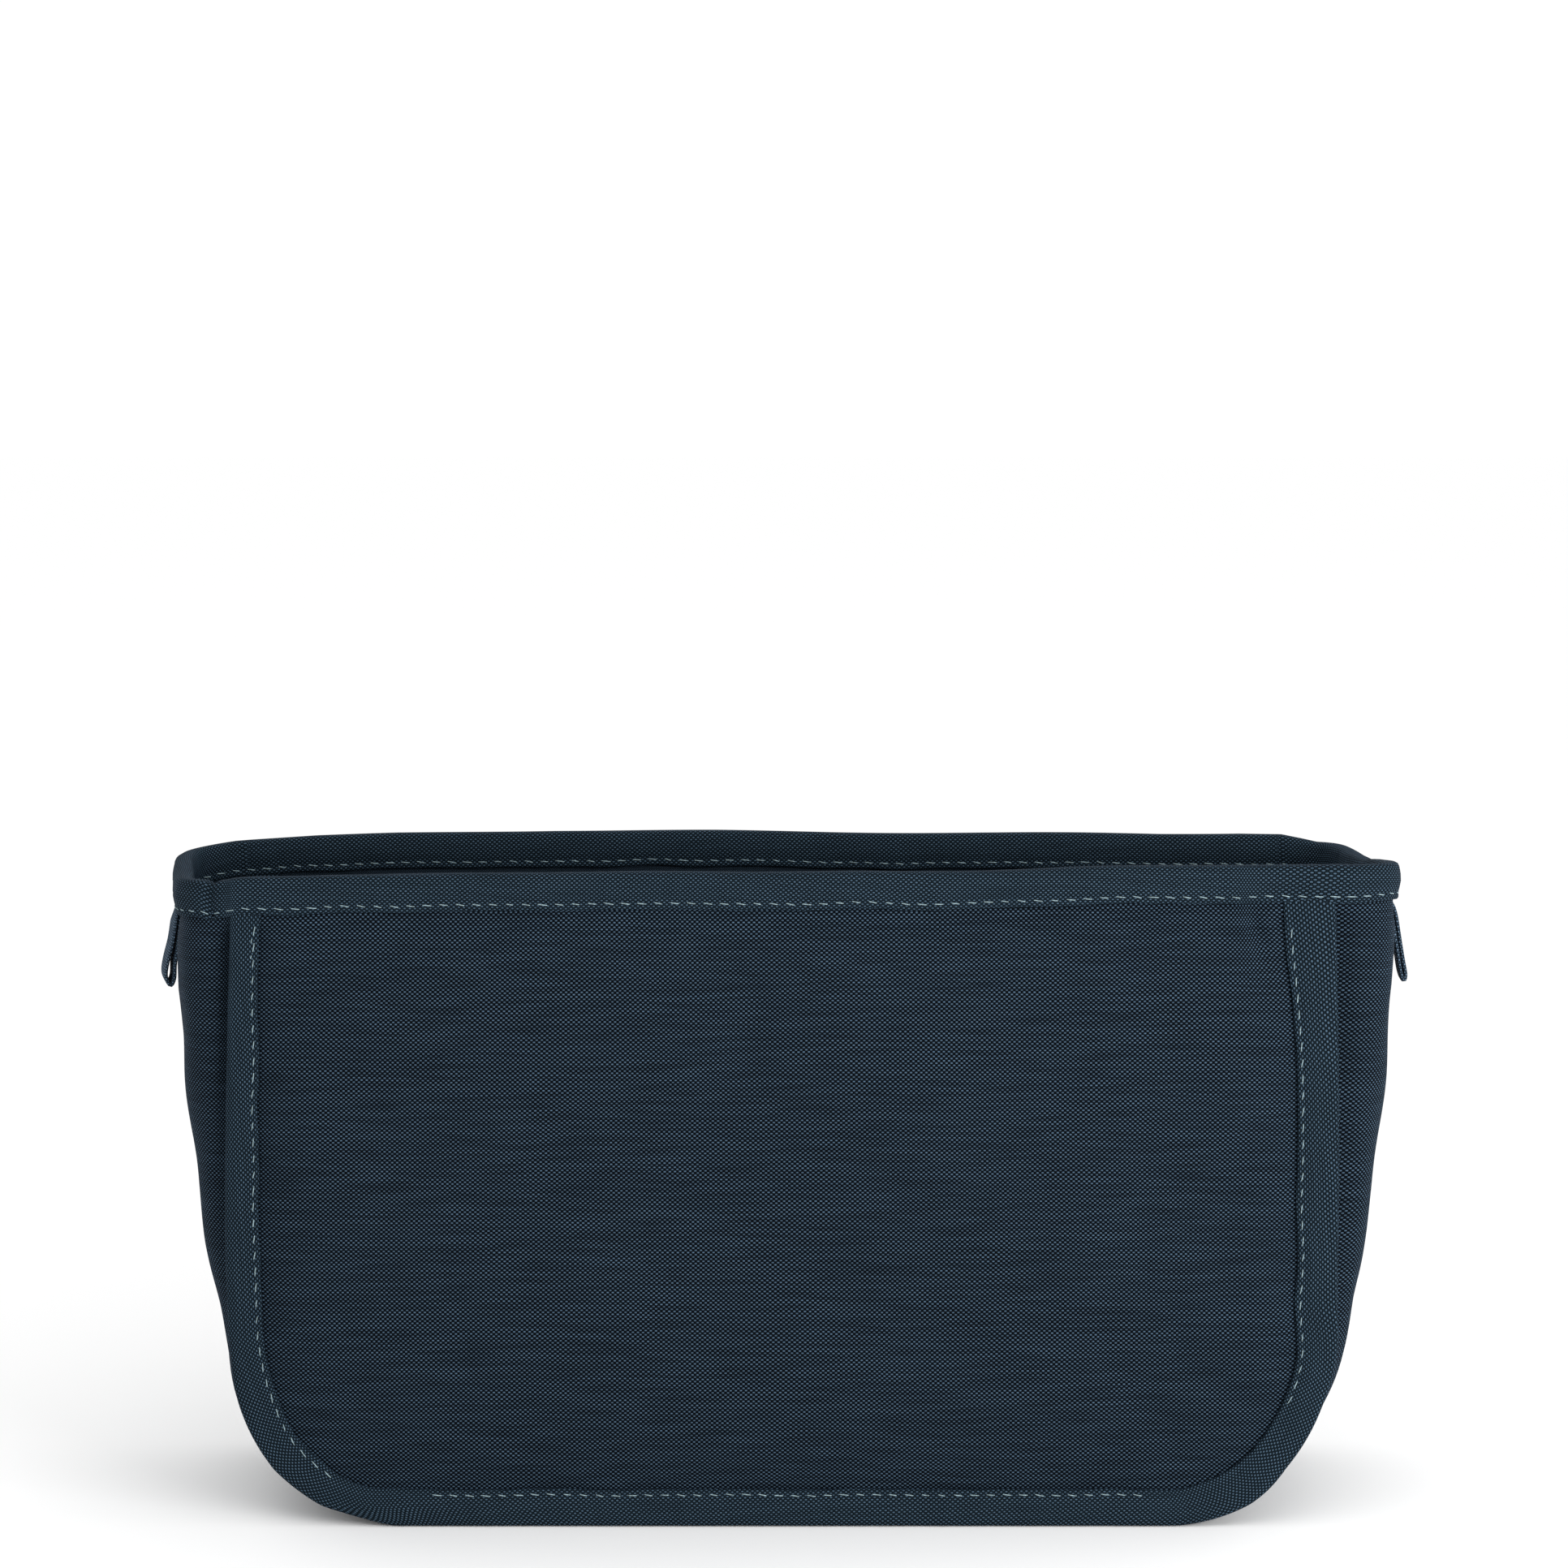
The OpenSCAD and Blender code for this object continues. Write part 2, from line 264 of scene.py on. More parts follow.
def join(name, parts):
    """One mesh from several lists of points and faces."""
    points, faces, base = [], [], 0
    for p, f in parts:
        points.append(p)
        faces += [[v + base for v in q] for q in f]
        base += len(p)
    mesh = bpy.data.meshes.new(name)
    mesh.from_pydata((np.vstack(points) * MM).tolist(), [], faces)
    mesh.shade_smooth()
    obj = bpy.data.objects.new(name, mesh)
    bpy.context.scene.collection.objects.link(obj)
    return obj


# ---------------------------------------------------------------- outlines
def wall_path(top, step):
    """The wall's U-shaped edge from its top left round to its top right: points (x, z),
    outward normals, and the length along it."""
    a = np.linspace(0, math.pi / 2, 90)
    corner = np.stack([HALF_W - CORNER_W + CORNER_W * np.cos(a),
                       CORNER_H * (1 - np.sin(a))], axis=1)
    right = np.vstack([[0.0, 0.0], corner[::-1], [HALF_W, top]])
    path = np.vstack([(right * [-1, 1])[::-1], right[1:]])
    path, s = resample(path, step=step)
    return path, side_normals(path, np.array([0.0, -1.0])), s


def plan_corner(side):
    """The rim's plan from the middle of the front round to the middle of a side."""
    pts = [(0, -37.2), (108, -37.3), (HALF_W + 1, -36.9), (HALF_W + 8.6, -34.8),
           (HALF_W + 13.4, -30.0), (HALF_W + 15.2, -21.5), (HALF_W + 15.4, -10),
           (HALF_W + 15.4, 0)]
    return np.array(pts) * [side, 1]


def rim_plan():
    """Plan of the rim band's outer face, from the left side over the front to the right."""
    left, right = plan_corner(-1), plan_corner(1)
    path = spline(np.vstack([left[::-1], right[1:]]), 1600)
    path, s = resample(path, step=STEP)
    return path, side_normals(path, np.array([0.0, -1.0])), s


# ---------------------------------------------------------------- bands and stitches
DIP_AT = 4                           # the stitch row's place in band_loop


def band_loop(width, depth, dip):
    """A soft folded band in section: rows of (distance from the folded edge, depth under
    the outer face), round from the outer leg's cut edge to the inner leg's."""
    outer = [(width, 0.75), (width + 0.05, 0.38), (width - 0.35, 0.08), (dip + 0.45, 0.06),
             (dip, 0.22), (dip - 0.5, 0.02), (dip - 1.6, -0.16), (width * 0.52, -0.3),
             (width * 0.34, -0.26), (2.0, -0.18), (1.0, -0.02), (0.36, 0.28), (0.05, 0.85)]
    inner = [(e, depth - d) for e, d in outer[::-1]]
    return np.array(outer + [(0, depth / 2)] + inner)


def stitch_hole(s):
    """1 at each needle hole along a row, and 0 between them."""
    t = (s / PITCH) % 1.0
    return np.exp(-((np.minimum(t, 1 - t)) / 0.16) ** 2)


def band_shape(s, section, depth, width, dip, seed):
    """Section of the band at every station, puffed between its needle holes."""
    e = np.repeat(section[None, :, 0], len(s), axis=0)
    d = np.repeat(section[None, :, 1], len(s), axis=0)
    across = np.exp(-((e - dip) / 0.9) ** 2)
    hole = stitch_hole(s)[:, None] * across
    puff = np.clip(np.sin(math.pi * np.clip(e / width, 0, 1)), 0, 1)
    swell = 0.12 * drift(s, seed, 17)[:, None] + 0.07 * drift(s, seed + 1, 6)[:, None]
    outer = d < depth / 2
    d = d + np.where(outer, 1, -1) * (0.16 * hole - puff * (0.08 + swell))
    e = e + 0.16 * drift(s, seed + 2, 26)[:, None] * (e / width)
    return e, d


def round_length(section):
    """Length round the section from its first point, with one more for the closing side."""
    closed = np.vstack([section, section[:1]])
    return np.r_[0, np.cumsum(np.linalg.norm(np.diff(closed, axis=0), axis=1))]


def turned(u, v, degrees):
    """Cloth coordinates of a band cut at an angle to the weave."""
    a = math.radians(degrees)
    return np.stack([u * math.cos(a) - v * math.sin(a), u * math.sin(a) + v * math.cos(a)],
                    axis=-1)


def band_weave(s, section):
    """Cloth coordinates of a band: along its length, and round its section."""
    around = round_length(section)
    return turned(s[:, None] + 0 * around, around[None] + 0 * s[:, None], BIAS)


def stitches(path, normals, first=0.0, last=0.0, shift=0.5, spread=0.0, sunk=()):
    """Thread segments along a path on a surface, one for each stitch. first and last are the
    lengths left bare at the ends, shift moves the row by a share of a stitch, and spread
    moves it sideways. sunk has ranges (lowest x, highest x, highest z) where the stitches
    have sunk into the fabric and can't be seen."""
    ends = np.r_[0, np.cumsum(np.linalg.norm(np.diff(path, axis=0), axis=1))]
    tangent = np.gradient(path, axis=0)
    across = np.cross(tangent, normals)
    across /= np.linalg.norm(across, axis=1)[:, None]
    count = int((ends[-1] - first - last) / PITCH)
    rng = np.random.default_rng(count + 7)
    rings, sides = 6, 6
    parts = []
    for k in range(count):
        middle = first + (k + shift) * PITCH
        x, _, z = (np.interp(middle, ends, c) for c in path.T)
        if any(low < x < high and z < top for low, high, top in sunk):
            continue
        half = PITCH * (STITCH_HALF + 0.03 * rng.standard_normal())
        lean = 0.16 + 0.05 * rng.standard_normal()
        points = []
        for r in range(rings + 1):
            t = 2 * r / rings - 1
            s = middle + half * t
            centre = np.array([np.interp(s, ends, c) for c in path.T])
            up = np.array([np.interp(s, ends, c) for c in normals.T])
            out = np.array([np.interp(s, ends, c) for c in across.T])
            centre = centre + up * (0.3 * (1 - t ** 4) - 0.14) + out * (lean * t + spread)
            size = THREAD_R * math.sqrt(max(1 - abs(t) ** 3, 0.04))
            for q in range(sides):
                a = 2 * math.pi * q / sides
                points.append(centre + size * (math.cos(a) * up + math.sin(a) * out))
        faces = []
        for r in range(rings):
            for q in range(sides):
                a, b = r * sides + q, r * sides + (q + 1) % sides
                faces.append([a, b, b + sides, a + sides])
        faces.append(list(range(sides))[::-1])
        faces.append([rings * sides + q for q in range(sides)])
        parts.append((np.array(points), faces))
    return parts


# ---------------------------------------------------------------- materials
YARN_PITCH = (0.565, 0.49)           # distance between yarns, along and across
SHEEN_TINT = (0.13, 0.24, 0.46, 1.0)
WEFT, WARP = (0.055, 0.093, 0.137), (0.0006, 0.0018, 0.004)


def node_maker(tree):
    """A function that adds a node. An input is a number, a colour or another node's socket."""
    def add(kind, inputs=None, **settings):
        n = tree.nodes.new(kind)
        for key, value in settings.items():
            setattr(n, key, value)
        for key, value in (inputs or {}).items():
            if isinstance(value, bpy.types.NodeSocket):
                tree.links.new(value, n.inputs[key])
            else:
                n.inputs[key].default_value = value
        return n
    return add


def maths(add, operation, a, b=None, c=None):
    values = {k: v for k, v in enumerate((a, b, c)) if v is not None}
    return add("ShaderNodeMath", values, operation=operation).outputs[0]


def new_material(name):
    """An empty node material, and the function that adds nodes to it."""
    mat = bpy.data.materials.new(name)
    mat.use_nodes = True
    mat.node_tree.nodes.clear()
    return mat, node_maker(mat.node_tree)


def fabric(name, weft, warp, pitch=YARN_PITCH, relief=0.1, streak=0.26):
    """Plain-woven cloth. Cells of the weave alternate between weft on top and warp on top,
    each yarn has its own slubs, and the bump follows the yarns. Each yarn's colour is darkened
    toward its edges, where it dips under the crossing yarn: painted shade. relief is the
    height of the yarns in millimetres, and streak is how much their tone varies."""
    mat, add = new_material(name)
    cloth = add("ShaderNodeAttribute", attribute_name="weave").outputs["Vector"]
    wobble = add("ShaderNodeTexNoise", {"Vector": cloth, "Scale": 0.02, "Detail": 2.0},
                 noise_dimensions="2D").outputs["Color"]
    moved = add("ShaderNodeVectorMath", {0: wobble, 1: (0.5, 0.5, 0.5)},
                operation="SUBTRACT").outputs[0]
    moved = add("ShaderNodeVectorMath", {0: moved, "Scale": 1.6}, operation="SCALE").outputs[0]
    cloth = add("ShaderNodeVectorMath", {0: cloth, 1: moved}, operation="ADD").outputs[0]
    split = add("ShaderNodeSeparateXYZ", {0: cloth})
    u = maths(add, "MULTIPLY", split.outputs[0], 1 / pitch[0])
    v = maths(add, "MULTIPLY", split.outputs[1], 1 / pitch[1])
    iu, iv = maths(add, "FLOOR", u), maths(add, "FLOOR", v)
    fu, fv = maths(add, "FRACT", u), maths(add, "FRACT", v)
    parity = maths(add, "PINGPONG", maths(add, "ADD", iu, iv), 1.0)
    over_u = maths(add, "SINE", maths(add, "MULTIPLY", fu, math.pi))
    over_v = maths(add, "SINE", maths(add, "MULTIPLY", fv, math.pi))

    def yarn(index, along, seed, stretch, low, high):
        place = add("ShaderNodeCombineXYZ", {0: maths(add, "MULTIPLY", along, stretch),
                                             1: maths(add, "MULTIPLY_ADD", index, 7.31, seed)})
        noise = add("ShaderNodeTexNoise", {"Vector": place.outputs[0], "Scale": 1.0,
                                           "Detail": 2.0}, noise_dimensions="2D")
        return add("ShaderNodeMapRange", {0: noise.outputs[0], 1: 0.3, 2: 0.7,
                                          3: low, 4: high}).outputs[0]

    weft_tone = yarn(iv, u, 3.7, 0.035, 1 - streak, 1 + streak)
    warp_tone = yarn(iu, v, 91.2, 0.06, 1 - streak * 0.7, 1 + streak * 0.7)
    weft_high = maths(add, "MULTIPLY", over_v, maths(add, "MULTIPLY_ADD", over_u, 0.5, 0.5))
    warp_high = maths(add, "MULTIPLY", over_u, maths(add, "MULTIPLY_ADD", over_v, 0.5, 0.5))
    height = add("ShaderNodeMix", {0: parity, 2: warp_high, 3: weft_high},
                 data_type="FLOAT").outputs[0]

    # Darkens a yarn's colour toward its edges by its height in the cell: painted shade where
    # it dips under the crossing yarn.
    def painted_yarn_shade(colour, tone, lit):
        scale = maths(add, "MULTIPLY", tone, maths(add, "POWER", lit, 1.4))
        return add("ShaderNodeVectorMath", {0: colour, "Scale": scale},
                   operation="SCALE").outputs[0]

    base = add("ShaderNodeMix", {0: parity, 6: painted_yarn_shade(warp, warp_tone, warp_high),
                                 7: painted_yarn_shade(weft, weft_tone, weft_high)},
               data_type="RGBA").outputs[2]
    bump = add("ShaderNodeBump", {"Strength": 0.7, "Distance": relief * MM,
                                  "Height": height}).outputs[0]
    shader = add("ShaderNodeBsdfPrincipled", {
        "Base Color": base, "Roughness": 0.85, "Normal": bump, "Sheen Weight": 0.05,
        "Sheen Roughness": 0.3, "Sheen Tint": SHEEN_TINT, "Specular IOR Level": 0.04})
    add("ShaderNodeOutputMaterial", {0: shader.outputs[0]})
    return mat


def plain(name, colour, rough, grain, scale=900.0):
    """A matt material with a fine grain in its tone."""
    mat, add = new_material(name)
    place = add("ShaderNodeTexCoord").outputs["Object"]
    noise = add("ShaderNodeTexNoise", {"Vector": place, "Scale": scale, "Detail": 3.0})
    tone = add("ShaderNodeMapRange", {0: noise.outputs[0], 1: 0.3, 2: 0.7,
                                      3: 1 - grain, 4: 1 + grain}).outputs[0]
    base = add("ShaderNodeVectorMath", {0: colour, "Scale": tone}, operation="SCALE")
    shader = add("ShaderNodeBsdfPrincipled", {"Base Color": base.outputs[0],
                                              "Roughness": rough,
                                              "Specular IOR Level": 0.25})
    add("ShaderNodeOutputMaterial", {0: shader.outputs[0]})
    return mat


shell_cloth = fabric("shell_cloth", WEFT, WARP)
band_cloth = fabric("band_cloth", (0.053, 0.090, 0.129), (0.005, 0.011, 0.0165), streak=0.15)
gusset_cloth = fabric("gusset_cloth", WEFT, WARP)
strap_cloth = fabric("strap_cloth", (0.13, 0.2, 0.28), (0.02, 0.035, 0.055),
                     pitch=(0.4, 0.6), streak=0.2)
lining_cloth = fabric("lining_cloth", (0.045, 0.07, 0.10), (0.02, 0.034, 0.05),
                      pitch=(0.3, 0.28), relief=0.04, streak=0.15)
thread = plain("sewing_thread", (0.19, 0.26, 0.28), 0.6, 0.5, 2500.0)
foam_grey = plain("foam_grey", (0.35, 0.37, 0.38), 0.95, 0.1)
board_black = plain("board_black", (0.02, 0.02, 0.022), 0.6, 0.1)


def dress(obj, material):
    """Gives an object its material."""
    obj.data.materials.clear()
    obj.data.materials.append(material)
    return obj


# ---------------------------------------------------------------- the padded walls
PANEL_TOP = RIM_EDGE + 1.8           # a panel's top edge, hidden under the rim band
PAD_EDGE = RIM_EDGE - 0.2            # where the padding starts to rise, under the rim band
PANEL_CAP = 3.4                      # how far the padding stands proud of the seam, at most
PANEL_SUNK = 0.35                    # how far it lies under the seam at its edge
ROLL, LOW_ROLL = 3.6, 5.6            # width of its rounded edge, and more of it low down
PANEL_ROWS, PANEL_COLUMNS = 46, 92
LOW_ROWS = 13                        # rows of these below the top of the rounded corners
FRONT_TUCK = ((HALF_W - 17.5, RIM_TOP - 9), (HALF_W - 8.5, RIM_TOP - 27))
TUCK_DEPTH, TUCK_RIDGE = 1.9, 0.5    # a soft fold at the right, and the ridge beside it
CLOTH_FRAMES = 22


def wall_grid():
    """Points of a grid that fills the wall's outline up to PANEL_TOP, TUCK in from it."""
    a = np.radians(np.linspace(90, 0, LOW_ROWS, endpoint=False))
    normal = np.stack([np.cos(a) / CORNER_W, -np.sin(a) / CORNER_H], axis=1)
    normal /= np.linalg.norm(normal, axis=1)[:, None]
    low_x = HALF_W - CORNER_W + CORNER_W * np.cos(a) - TUCK * normal[:, 0]
    low_z = CORNER_H * (1 - np.sin(a)) - TUCK * normal[:, 1]
    high_z = np.linspace(CORNER_H, PANEL_TOP, PANEL_ROWS - LOW_ROWS)
    z = np.r_[low_z, high_z]
    half = np.r_[low_x, np.full(len(high_z), HALF_W - TUCK)]
    x = half[:, None] * np.linspace(-1, 1, PANEL_COLUMNS)
    return x, np.repeat(z[:, None], PANEL_COLUMNS, axis=1)


def edge_distance(x, z):
    """Distance of a point inside the wall from the padding's edge, roughly."""
    side = HALF_W - SEAM_W - np.abs(x)
    low = z - SEAM_W
    ex = (np.abs(x) - (HALF_W - CORNER_W)) / (CORNER_W - SEAM_W)
    ez = (CORNER_H - z) / (CORNER_H - SEAM_W)
    in_corner = (ex > 0) & (ez > 0)
    corner = (1 - np.hypot(np.maximum(ex, 0), np.maximum(ez, 0))) * (CORNER_W - SEAM_W)
    high = PAD_EDGE - z
    rest = np.minimum(np.minimum(side, low), high)
    return np.where(in_corner, np.minimum(corner, high), rest)


def simulate_panel(x, z, seed):
    """Blows a slightly full sheet up against its sewn edge, as the foam does. Returns how
    far each point of the grid moves outward, in millimetres."""
    n, m = x.shape
    flat = np.stack([x, -0.4 * np.abs(ripple(x, z, seed, 22)), z], axis=-1).reshape(-1, 3)
    faces, _ = grid_faces(n, m, False, np.zeros((n, m, 2)))
    obj = make_object("padding", flat, faces[:, ::-1])
    pins = obj.vertex_groups.new(name="pins")
    index = np.arange(n * m).reshape(n, m)
    edge = np.r_[index[0], index[-1], index[:, 0], index[:, -1]]
    pins.add([int(i) for i in edge], 1.0, "REPLACE")
    cloth = obj.modifiers.new("cloth", "CLOTH")
    s = cloth.settings
    s.quality = 6
    s.mass = 0.25
    s.tension_stiffness = 25
    s.compression_stiffness = 25
    s.shear_stiffness = 12
    s.bending_stiffness = 0.6
    s.vertex_group_mass = "pins"
    s.use_pressure = True
    s.uniform_pressure_force = 1.6
    s.shrink_min = -0.012
    s.effector_weights.gravity = 0
    cloth.collision_settings.use_collision = False
    cloth.point_cache.frame_end = CLOTH_FRAMES
    scene = bpy.context.scene
    for f in range(1, CLOTH_FRAMES + 1):
        scene.frame_set(f)
    blown = obj.evaluated_get(bpy.context.evaluated_depsgraph_get())
    co = np.zeros(n * m * 3, np.float32)
    blown.data.vertices.foreach_get("co", co)
    scene.frame_set(1)
    bpy.data.objects.remove(obj)
    co = co.reshape(n, m, 3) / MM
    return co - flat.reshape(n, m, 3) * [1, 0, 1]


def panel_moves(x, z, seed):
    return simulate_panel(x, z, seed)


def refine(a):
    """Halves the spacing of a grid, along both ways, with a smooth interpolation."""
    for axis in (0, 1):
        a = np.moveaxis(a, axis, 0)
        middle = (a[:-1] + a[1:]) / 2
        middle[1:-1] = (9 * (a[1:-2] + a[2:-1]) - a[:-3] - a[3:]) / 16
        out = np.empty((2 * len(a) - 1,) + a.shape[1:])
        out[::2], out[1::2] = a, middle
        a = np.moveaxis(out, 0, axis)
    return a


def tuck(x, z, ends):
    """A soft fold in the padding along the line between two points, with a ridge beside."""
    (x0, z0), (x1, z1) = ends
    along = np.array([x1 - x0, z1 - z0])
    length = np.linalg.norm(along)
    along /= length
    t = ((x - x0) * along[0] + (z - z0) * along[1]) / length
    away = (x - x0) * along[1] - (z - z0) * along[0]
    reach = smooth(t / 0.3) * smooth((1 - t) / 0.6)
    return reach * (TUCK_RIDGE * np.exp(-((away - 3.4) / 2.0) ** 2)
                    - TUCK_DEPTH * np.exp(-(away / 1.9) ** 2))


def padded_panel(wall, face, seed, tuck_ends):
    """The padded outer face of a wall and the foam under it."""
    x, z = wall_grid()
    moves = panel_moves(x, z, seed)
    blown = np.tanh(-moves[..., 1] / PANEL_CAP * 1.15)
    slip = np.clip(moves[..., [0, 2]], -0.6, 0.6)
    x, z, blown, slip = refine(x), refine(z), refine(blown), refine(slip)
    edge = edge_distance(x, z)
    low = smooth((44 - z) / 30) * (0.4 + 0.6 * smooth((np.abs(x) - 60) / 30))
    rise = 1 - np.exp(-np.maximum(edge, 0) / (ROLL + LOW_ROLL * low))
    out = -PANEL_SUNK + (PANEL_CAP + PANEL_SUNK) * rise * (0.6 + 0.4 * blown)
    inner = smooth(edge / 10)
    out = out + inner * (0.22 * ripple(x, z, seed + 3, 60, squash=1.6)
                         + 0.07 * ripple(x, z, seed + 4, 16, squash=1.5))
    if tuck_ends:
        out = out + tuck(x, z, tuck_ends)
    xs, zs = x + slip[..., 0] * 0.6, z + slip[..., 1] * 0.6
    p = np.stack([xs * -face, face * (HALF_D - 1.0 + out), zs], axis=-1)
    q = settle(p)
    n = grid_normals(q)
    outward = n * np.sign(n[..., 1:2] * face)
    obj = thick_sheet(wall + "_padding", q, np.stack([x, z], axis=-1), 0.6, outward)
    dress(obj, shell_cloth)
    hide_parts(wall + "_panel")
    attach(obj, wall + "_wall")
    foam_pad(wall, face, p[6:-6, 6:-6])


def foam_pad(wall, face, panel):
    """The foam between a panel's cloth and the wall's seam plane."""
    front = panel + [0, -face * 0.75, 0]
    rear = front.copy()
    rear[..., 1] = face * (HALF_D - 1.6)
    thin = face * front[..., 1] < face * rear[..., 1] + 0.4
    rear[..., 1] = np.where(thin, front[..., 1] - face * 0.4, rear[..., 1])
    rings = np.concatenate([front, rear[:, ::-1]], axis=1)
    n, m = rings.shape[:2]
    pad = tube(wall + "_pad", settle(rings), np.zeros((n, m + 1, 2)))
    dress(pad, foam_grey)
    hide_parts(wall + "_foam")
    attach(pad, wall + "_wall")


def wall_lining(wall, face, seed):
    """Lining of a wall, slightly full between its sewn edges."""
    x, z = wall_grid()
    inner = smooth(edge_distance(x, z) / 12)
    depth = BAND_D - 1.5 + inner * (0.9 + 0.16 * ripple(x, z, seed, 34))
    p = np.stack([x * face, face * (HALF_D - depth), z], axis=-1)
    obj = thick_sheet(wall + "_lining_cloth", settle(p), np.stack([x, z], axis=-1), 0.5)
    dress(obj, lining_cloth)
    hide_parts(wall + "_lining")
    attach(obj, wall + "_wall")


# ---------------------------------------------------------------- bindings
# At both lower corners of the front the stitches have sunk into the fabric
SUNK = [(-98, -78.5, 14), (83.5, 114, 27)]


def seam_binding(wall, face, seed):
    """The folded band round a wall's edge, pressed in where the rim band covers its ends."""
    top = RIM_EDGE + 0.5
    path, normal, s = wall_path(top, STEP)
    section = band_loop(SEAM_W, BAND_D, SEAM_STITCH)
    e, d = band_shape(s, section, BAND_D, SEAM_W, SEAM_STITCH, seed)
    x = path[:, None, 0] - e * normal[:, None, 0]
    z = np.maximum(path[:, None, 1] - e * normal[:, None, 1], TABLE_GAP)
    y = face * (HALF_D - d - 0.5 * smooth((z - top + 5) / 5))
    rings = np.stack([x, y, z], axis=-1)
    obj = tube(wall + "_seam_band", settle(rings), band_weave(s, section))
    dress(obj, band_cloth)
    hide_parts(wall + "_seam_binding")
    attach(obj, wall + "_wall")
    parts = []
    for column, side in ((DIP_AT, face), (-1 - DIP_AT, -face)):
        up = np.tile([0.0, side, 0.0], (len(s), 1))
        parts += stitches(settle(rings[:, column]), up, first=2.2, last=2.2,
                          sunk=SUNK if face < 0 else ())
    if face < 0:                     # the back-tack at the left seam's top
        line = settle(rings[:20, DIP_AT])
        up = np.tile([0.0, face, 0.0], (len(line), 1))
        parts += stitches(line, up, first=3.0, shift=0.95, spread=0.55)
    seam = join(wall + "_seam_stitches", parts)
    dress(seam, thread)
    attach(seam, wall + "_wall")


def rim_band(wall, face, seed):
    """Half of the rim band: over one wall and back to the middle of each side."""
    path, normal, s = rim_plan()
    section = band_loop(RIM_H, RIM_T, RIM_STITCH)
    e, d = band_shape(s, section, RIM_T, RIM_H, RIM_STITCH, seed)
    middle = np.minimum(s, s[-1] - s)
    meet = smooth(middle / 6)[:, None]
    e = section[None, :, 0] + (e - section[None, :, 0]) * meet
    d = section[None, :, 1] + (d - section[None, :, 1]) * meet
    crest = 0.25 * drift(s, seed + 5, 70)[:, None] * meet
    if face < 0:                     # the crease at the front left corner
        pinch = np.exp(-((path[:, 0] + HALF_W + 6.5) / 1.1) ** 2)[:, None]
        near = smooth((-20 - path[:, 1]) / 8)[:, None]
        d = d + np.where(section[None, :, 1] < RIM_T / 2, 1.3, 0.5) * pinch * near
        crest = crest - 0.9 * pinch * near
    x = path[:, None, 0] - d * normal[:, None, 0]
    y = -face * (path[:, None, 1] - d * normal[:, None, 1])
    z = RIM_TOP - e + crest
    rings = np.stack([x, y, z], axis=-1)
    obj = tube(wall + "_rim_band", settle(rings), band_weave(s, section))
    dress(obj, band_cloth)
    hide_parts(wall + "_rim_binding", "rim_binding_left", "rim_binding_right")
    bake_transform(obj)
    parts = []
    for column, side in ((DIP_AT, 1), (-1 - DIP_AT, -1)):
        up = np.stack([side * normal[:, 0], -face * side * normal[:, 1], 0 * s], axis=1)
        parts += stitches(settle(rings[:, column]), up)
    row = join(wall + "_rim_stitches", parts)
    dress(row, thread)
    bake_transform(row)


# ---------------------------------------------------------------- gusset
# Half of the strip in plan, from its seam at a wall to its middle: distances out from the
# wall's edge, and y. It is flat along the base, full at the sides and narrower in the rim.
GUSSET_TOP = RIM_TOP - 3.5
OUT_TOP = np.array([(-2.0, -34.0), (0.6, -32.9), (3.6, -34.0), (8.4, -33.3), (12.4, -29.3),
                    (14.2, -21.2), (14.6, -10.0), (14.4, 0.0)])
OUT_BASE = np.array([(-2.0, -34.0), (-0.4, -33.0), (-0.3, -31.0), (-0.2, -28.0),
                     (-0.2, -22.0), (-0.2, -15.0), (-0.2, -7.5), (-0.2, 0.0)])
OUT_RIM = np.array([(-2.0, -35.8), (0.8, -35.7), (4.5, -35.0), (8.2, -33.6), (12.3, -29.3),
                    (13.9, -21.2), (14.1, -10.0), (14.1, 0.0)])
# Share of the way from OUT_BASE to OUT_TOP, at heights above the table
BULGE = [(0, 0), (20, 0.09), (38, 0.22), (47, 0.33), (56, 0.44), (75, 0.63), (93, 0.76),
         (103, 0.84), (112, 0.91), (120, 0.965), (134, 0.99), (147, 0.97)]


def under_rim(z):
    """0 below the rim band, and 1 where the band covers the gusset."""
    return smooth((z - RIM_EDGE + 5) / 5)


def gusset_grid(face, columns):
    """Half of the gusset strip, from its seam at the wall to the middle of the strip."""
    path, normal, s = wall_path(GUSSET_TOP, 2.0)
    share = table(path[:, 1], BULGE)
    rows = []
    for w, t in zip(share, under_rim(path[:, 1])):
        plan = OUT_BASE + (OUT_TOP - OUT_BASE) * w
        rows.append(spline(plan + (OUT_RIM - plan) * t, columns))
    rows = np.array(rows)
    out, y = rows[..., 0], rows[..., 1] * -face
    x = path[:, None, 0] + out * normal[:, None, 0]
    z = path[:, None, 1] + out * normal[:, None, 1]
    p = np.stack([x, y, z], axis=-1)
    n = grid_normals(p)
    if np.sum(n[len(s) // 2, :, 2]) > 0:
        n = -n
    steps = np.linalg.norm(np.diff(p, axis=1), axis=2)
    u = np.concatenate([0 * s[:, None], np.cumsum(steps, axis=1)], axis=1)
    u = (u[:, -1:] - u) * face
    uv = np.stack([u, np.repeat(s[:, None], columns, 1)], axis=-1)
    return p, n, uv, s


